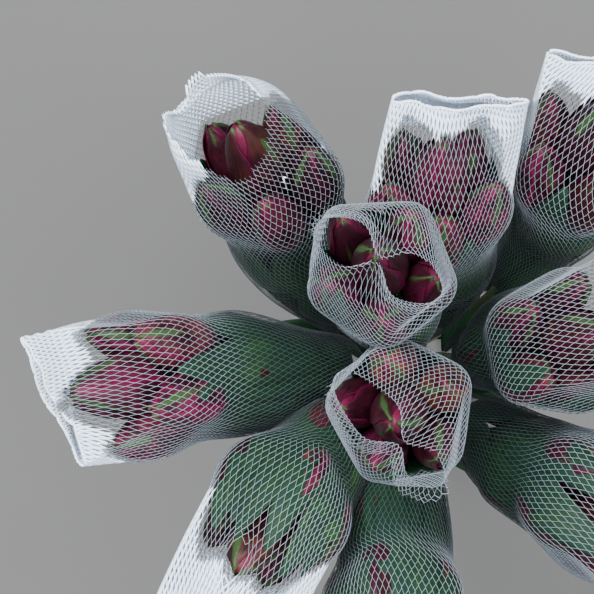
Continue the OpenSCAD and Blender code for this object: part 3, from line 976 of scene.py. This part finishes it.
# Single leaves with a place of their own: the head, the end past the middle of the buds, the
# angle, the drift, half the width and the brightness.
SINGLE_LEAVES = [
    (5, 40, 240, 70, 9, 0.7), (5, 30, 275, 20, 8, 0.3),
    (8, 30, 20, 25, 13, 1.0), (8, 22, 60, -20, 11, 0.5), (8, 20, 100, 15, 12, 0.1),
    (8, 14, 140, -10, 12, 0.2), (8, 26, 80, 0, 13, 0.3),
    (6, 24, 205, -20, 12, 0.5), (6, 14, 100, 20, 12, 0.3),
    (9, 34, 120, -25, 12, 0.4), (9, 26, 60, 20, 12, 0.2), (9, 30, 90, 0, 12, 0.1),
    (10, 26, 110, 20, 12, 0.3), (10, 22, 70, 10, 12, 0.1),
    (4, 28, 20, 10, 8, 0.6), (3, 2, 90, 10, 12, 0.2), (2, -4, 100, -10, 12, 0.2),
]

# Leaves round each stalk crown, leaves below them, and the free ones lower on the outer stems
WHORL, LOWER = 11, 7
LEAF_THICK = 0.45 * MM
FREE_LEAVES = ((2.35, -50), (2.65, 50))


def leaf(bm, index, blade, layers, seed):
    """A lance-shaped leaf that rises from the stem and lies against the inside of the sleeve."""
    uv, bright_layer = layers
    skin = skin_of(index)
    faces, share = blade_grid(bm, uv, 6, 20)
    a, b = np.array(list(share.values())).T
    side = 2 * a - 1
    s = blade.base + (blade.reach - blade.base) * b
    width = blade.half * np.array([leaf_width(x) for x in b])
    mid = blade.angle / 360 + blade.drift / 360 * b + 0.012 * np.sin(5 * b + seed)
    phi = mid + side * width / skin.girth_at(s)
    fold = 0.35 * MM * (1 - np.abs(side)) + 0.25 * MM * np.sin(9 * b + 3 * a + seed)
    s = s + side * 1.2 * MM * np.sin(4 * b + seed)
    wall = skin.spot(np.clip(s, 0, skin.length), phi, np.maximum(blade.inset + fold, 0.75 * MM))
    stem = along(sleeve_path(index), np.minimum(np.interp(s, skin.s, skin.u), 3))
    rise = smoothstep(-0.02, 0.30, b)[:, None]
    root = stem + unit(wall - stem) * (3.4 * MM + 0.6 * MM * np.abs(side)[:, None])
    for v, spot in zip(share, root * (1 - rise) + wall * rise):
        v.co = spot
        v[bright_layer] = blade.bright
    return faces


def free_leaf(bm, index, u, turn, layers, rng):
    """A leaf that springs from the bare stem and arches outward."""
    uv, bright_layer = layers
    faces, share = blade_grid(bm, uv, 6, 18)
    q = facing(index) + math.radians(turn)
    out, side, up = np.array([
        (math.cos(q), math.sin(q), 0), (-math.sin(q), math.cos(q), 0), (0, 0, 1)])
    foot = along(stem_path(index), u)[0] + 3.3 * MM * out
    roll, ripple = rng.uniform(-0.5, 0.5), rng.uniform(0, TAU)
    for v, (a, b) in share.items():
        across = 2 * a - 1
        bend = math.radians(55 + 75 * b)
        way = math.sin(bend / 2) * out + math.cos(bend / 2) * up
        normal = math.cos(bend) * out - math.sin(bend) * up
        half = 6.4 * MM * leaf_width(b)
        spine = foot + 70 * MM * (b - 0.3 * b * b) * way
        cup = 0.3 * half * abs(across) + 0.5 * MM * across * math.sin(7 * b + ripple)
        v.co = spine - across * half * side - (cup + roll * half * across * b) * normal
        v[bright_layer] = 0.3
    return faces


def leaves(index, greens, material):
    """All the leaves of one stem: the whorl folded up round the stalks and those below it."""
    bm = bmesh.new()
    layers = (bm.loops.layers.uv.new("leaf"), bm.verts.layers.float.new("bright"))
    skin = skin_of(index)
    rng = np.random.default_rng(500 + index)
    top, middle = np.interp(1.0, skin.u, skin.s), np.interp(2.0, skin.u, skin.s)
    half = greens.leaf_half
    blades = []
    for k in range(WHORL):
        angle = 360 * k / WHORL + rng.uniform(-10, 10)
        over = LEAF_OVER[index] if math.sin(math.radians(angle)) > 0.2 else 0
        blades.append(Blade(
            top + rng.uniform(-10, 2) * MM, middle + (over + rng.uniform(-14, 8)) * MM, angle,
            rng.uniform(-14, 14), half * rng.uniform(1.0, 1.35), (0.9 + 0.6 * (k % 3)) * MM,
            rng.uniform(0, 0.45)))
    for k in range(LOWER):
        blades.append(Blade(
            rng.uniform(4, 14) * MM, top + rng.uniform(4, 26) * MM, 360 * k / LOWER + rng.uniform(-15, 15),
            rng.uniform(-20, 20), half * rng.uniform(0.9, 1.2), (1.2 + 0.9 * (k % 2)) * MM,
            rng.uniform(0, 0.35)))
    # three leaves that cover the small bud
    low = min(skin.seats, key=lambda seat: seat.length)
    k = int(np.searchsorted(skin.u, 1.5))
    away = low.foot + 0.6 * low.length * low.axis - skin.c[k]
    cover = math.degrees(math.atan2(away @ skin.e2[k], away @ skin.e1[k]))
    for turn in (-28, 0, 26):
        blades.append(Blade(
            0.4 * top, middle + (0.3 * turn - 8) * MM, cover + turn, -0.3 * turn, 13 * MM, 0.7 * MM, 0.2))
    for head, over, angle, drift, wide, bright in SINGLE_LEAVES:
        if head == index + 1:
            blades.append(Blade(
                0.6 * top, middle + over * MM, angle, drift, wide * MM, 0.8 * MM, bright))
    faces = []
    for number, blade in enumerate(blades):
        faces += leaf(bm, index, blade, layers, number)
    if RING_STEP[index] is not None:
        for u, turn in FREE_LEAVES:
            faces += free_leaf(bm, index, u, turn, layers, rng)
    bmesh.ops.recalc_face_normals(bm, faces=bm.faces)
    bmesh.ops.solidify(bm, geom=faces, thickness=LEAF_THICK)
    return finished(f"foliage_{index + 1}", bm, material, f"leaves_{index + 1}")


# ---------------------------------------------------------------- stalks and stems


def tube(bm, points, radii, sides, level_start=False):
    """A closed tube: a circle that is extruded from point to point."""
    points = np.asarray(points, float)
    ways = unit(np.gradient(points, axis=0))
    if level_start:
        ways[0] = (0, 0, 1)
    first = np.cross(ways[0], [0.31, 0.9, 0.2])
    edges, rings = None, []
    for n, (point, way, r) in enumerate(zip(points, ways, radii)):
        first = unit(first - (first @ way) * way)
        second = np.cross(way, first)
        if n == 0:
            ring = bmesh.ops.create_circle(bm, cap_ends=False, segments=sides, radius=1.0)["verts"]
            edges = list(dict.fromkeys(e for v in ring for e in v.link_edges))
            order = {v: math.atan2(v.co.y, v.co.x) for v in ring}
        else:
            out = bmesh.ops.extrude_edge_only(bm, edges=edges)["geom"]
            ring = [g for g in out if isinstance(g, bmesh.types.BMVert)]
            edges = [g for g in out if isinstance(g, bmesh.types.BMEdge)]
            order = {v: order[other] for v in ring for e in v.link_edges
                     if (other := e.other_vert(v)) in order}
        for v in ring:
            v.co = point + r * (math.cos(order[v]) * first + math.sin(order[v]) * second)
        rings.append(ring)
    bmesh.ops.contextual_create(bm, geom=rings[0])
    bmesh.ops.contextual_create(bm, geom=rings[-1])


# Each stem's step round the ring of outer stems; the two without one stand inside. The ring's
# radius at the binding and on the floor in millimetres, the height of the binding, and in degrees
# the ring's start and how far the stems turn about one another below the binding.
RING_STEP = [3, 2, 1, None, None, 0, 4, 5, 6, 7]
BAND_RADIUS, FOOT_RADIUS, BAND_HEIGHT = 8.58, 36, 250
RING_START, SPIRAL = 10, 40
# Where the two inner stems stand at the binding and on the floor
INNER_BAND = {3: 3, 4: -3}
INNER_FOOT = {3: (12, 9, 0), 4: (0, 0, 0)}


def stem_path(index):
    """The stem from its cut end through the binding to the top, as in the CAD."""
    if RING_STEP[index] is None:
        foot = np.array(INNER_FOOT[index], float)
        band = np.array([INNER_BAND[index], 0, BAND_HEIGHT], float)
    else:
        at_band = math.radians(45 * RING_STEP[index] + RING_START)
        at_foot = at_band - math.radians(SPIRAL)
        foot = FOOT_RADIUS * np.array([math.cos(at_foot), math.sin(at_foot), 0])
        band = BAND_RADIUS * np.array([math.cos(at_band), math.sin(at_band), 0]) + [0, 0, BAND_HEIGHT]
    return np.array([foot, (foot + band) / 2, band, HEADS[index].neck, HEADS[index].top], float) * MM


def stem(index, material):
    """One smooth stem with faint joints where its lower leaves have been stripped."""
    bm = bmesh.new()
    u = np.linspace(0, 4, 97)
    points = along(stem_path(index), u)
    rng = np.random.default_rng(300 + index)
    joints = rng.uniform(0.2, 1.0) + np.arange(0, 4, 0.62)
    swell = sum(0.28 * np.exp(-((u - joint) / 0.035) ** 2) for joint in joints if abs(joint - 2) > 0.12)
    radii = (2.62 + 0.13 * np.sin(1.7 * u + index) + swell * (u > 0.05)) * MM
    points[0, 2] = 0.0  # the cut end stands on the floor
    tube(bm, points, radii, 16, level_start=True)
    bmesh.ops.recalc_face_normals(bm, faces=bm.faces)
    return finished(f"main_stem_{index + 1}", bm, material, f"stem_{index + 1}")


# The ovary under a bud: distances along it and radii, in millimetres
OVARY = ((-1.2, 1.2), (0, 1.9), (2, 2.6), (4, 2.7), (5.4, 2.2), (6.6, 1.4))
OVARY_LONG = 5.5 * MM


def stalks(index, material):
    """The thin stalks from the top of a stem to its buds, each with the ribbed ovary under its bud."""
    bm = bmesh.new()
    skin = skin_of(index)
    hub = sleeve_path(index)[1]
    axis = headings(sleeve_path(index), [1.0])[0]
    for seat in skin.seats:
        reach = seat.foot - OVARY_LONG * seat.axis
        bow = 0.35 * np.linalg.norm(reach - hub)
        t = np.linspace(0, 1, 9)[:, None]
        a, b = hub + bow * axis, reach - 0.6 * bow * seat.axis
        line = (1 - t) ** 3 * hub + 3 * t * (1 - t) ** 2 * a + 3 * t**2 * (1 - t) * b + t**3 * reach
        tube(bm, line, np.full(9, 1.15 * MM), 8)
        tube(bm, [reach + seat.axis * d * MM for d, _ in OVARY], [r * MM for _, r in OVARY], 12)
    bmesh.ops.create_icosphere(bm, subdivisions=3, radius=3.2 * MM, matrix=Matrix.Translation(hub))
    bmesh.ops.recalc_face_normals(bm, faces=bm.faces)
    return finished(f"stalks_{index + 1}", bm, material, f"pedicels_{index + 1}")


# ---------------------------------------------------------------- stage

# The lights: name, place, width and power, all turned to one point of the bunch
Light = namedtuple("Light", "name place size power")
LIGHTS = [
    Light("key_softbox", (-0.6, 0.8, 1.8), 0.8, 67.0),
    Light("fill_softbox", (1.1, -0.5, 1.4), 1.0, 25.0),
    Light("top_softbox", (0.0, 0.0, 1.9), 1.0, 43.0),
]
LIT_POINT = (0, 0, 0.45)
SKY, SKY_STRENGTH = (0.90, 0.95, 1.0, 1), 0.38
FLOOR_SIZE = 9.0


# ---------------------------------------------------------------- operators and panel


class ALSTROEMERIA_OT_sleeves(bpy.types.Operator):
    """Knit the ten net sleeves over their heads"""

    bl_idname = "alstroemeria.sleeves"
    bl_label = "Net sleeves"

    def execute(self, context):
        net = settings("bunch_net")
        material = net_material(net)
        for index in range(COUNT):
            sleeve(index, net, material)
        return {"FINISHED"}


class ALSTROEMERIA_OT_heads(bpy.types.Operator):
    """Make the closed buds of each head"""

    bl_idname = "alstroemeria.heads"
    bl_label = "Buds"

    def execute(self, context):
        material = tepal_material(settings("bunch_buds"))
        for index in range(COUNT):
            head_of_buds(index, material)
        return {"FINISHED"}


class ALSTROEMERIA_OT_foliage(bpy.types.Operator):
    """Fold the leaves up inside each sleeve"""

    bl_idname = "alstroemeria.foliage"
    bl_label = "Leaves"

    def execute(self, context):
        greens = settings("bunch_greens")
        material = leaf_material(greens.leaf)
        for index in range(COUNT):
            leaves(index, greens, material)
        return {"FINISHED"}


class ALSTROEMERIA_OT_stems(bpy.types.Operator):
    """Make the flower stalks and finish the stems and the rubber band"""

    bl_idname = "alstroemeria.stems"
    bl_label = "Stalks and stems"

    def execute(self, context):
        greens = settings("bunch_greens")
        thin = stalk_material("flower_stalk", greens.stem, (0.085, 0.035, 0.02))
        thick = stalk_material("main_stem", greens.stem, (0.07, 0.075, 0.025))
        rubber = band_material()
        for index in range(COUNT):
            stalks(index, thin)
            stem(index, thick)
        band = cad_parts["rubber_band"].data
        band.materials.clear()
        band.materials.append(rubber)
        return {"FINISHED"}


class ALSTROEMERIA_OT_stage(bpy.types.Operator):
    """Lay the floor, hang the lights and stand the camera over the bunch"""

    bl_idname = "alstroemeria.stage"
    bl_label = "Floor, lights and camera"

    def execute(self, context):
        stage = settings("bunch_stage")
        scene = context.scene
        bm = bmesh.new()
        bmesh.ops.create_grid(bm, x_segments=1, y_segments=1, size=FLOOR_SIZE)
        mesh = bpy.data.meshes.new("floor")
        bm.to_mesh(mesh)
        bm.free()
        mesh.materials.append(floor_material(stage.floor))
        stood("floor", mesh)
        for light in LIGHTS:
            data = bpy.data.lights.new(light.name, "AREA")
            data.energy, data.size = light.power, light.size
            lamp = stood(light.name, data)
            lamp.location = light.place
            way = Vector(LIT_POINT) - Vector(light.place)
            lamp.rotation_euler = way.to_track_quat("-Z", "Y").to_euler()
        world = bpy.data.worlds.new("studio")
        world.use_nodes = True
        background = world.node_tree.nodes["Background"]
        background.inputs["Color"].default_value = SKY
        background.inputs["Strength"].default_value = SKY_STRENGTH
        scene.world = world
        camera = bpy.data.cameras.new("camera")
        camera.lens, camera.sensor_width, camera.clip_end = stage.lens, 36.0, 20.0
        scene.camera = stood("camera", camera)
        scene.camera.location = stage.camera_at
        return {"FINISHED"}


class ALSTROEMERIA_PT_bunch(bpy.types.Panel):
    """The steps that build the bunch, and their settings"""

    bl_idname = "ALSTROEMERIA_PT_bunch"
    bl_label = "Alstroemeria bunch"
    bl_space_type = "VIEW_3D"
    bl_region_type = "UI"
    bl_category = "Bunch"

    def draw(self, context):
        for group, step in STEPS:
            box = self.layout.box()
            owner = settings(group)
            for name in owner.__annotations__:
                box.prop(owner, name)
            box.operator(step)


STEPS = (
    ("bunch_stage", "alstroemeria.stage"),
    ("bunch_buds", "alstroemeria.heads"),
    ("bunch_greens", "alstroemeria.foliage"),
    ("bunch_greens", "alstroemeria.stems"),
    ("bunch_net", "alstroemeria.sleeves"),
)
GROUPS = {
    "bunch_net": NetSettings,
    "bunch_buds": BudSettings,
    "bunch_greens": GreenSettings,
    "bunch_stage": StageSettings,
}
CLASSES = (
    *GROUPS.values(),
    ALSTROEMERIA_OT_sleeves,
    ALSTROEMERIA_OT_heads,
    ALSTROEMERIA_OT_foliage,
    ALSTROEMERIA_OT_stems,
    ALSTROEMERIA_OT_stage,
    ALSTROEMERIA_PT_bunch,
)


def register():
    for cls in CLASSES:
        bpy.utils.register_class(cls)
    for name, group in GROUPS.items():
        setattr(bpy.types.Scene, name, PointerProperty(type=group))


def unregister():
    for name in GROUPS:
        delattr(bpy.types.Scene, name)
    for cls in reversed(CLASSES):
        bpy.utils.unregister_class(cls)


def main():
    register()
    for _, step in STEPS:
        family, name = step.split(".")
        getattr(getattr(bpy.ops, family), name)()


if __name__ == "__main__":
    main()
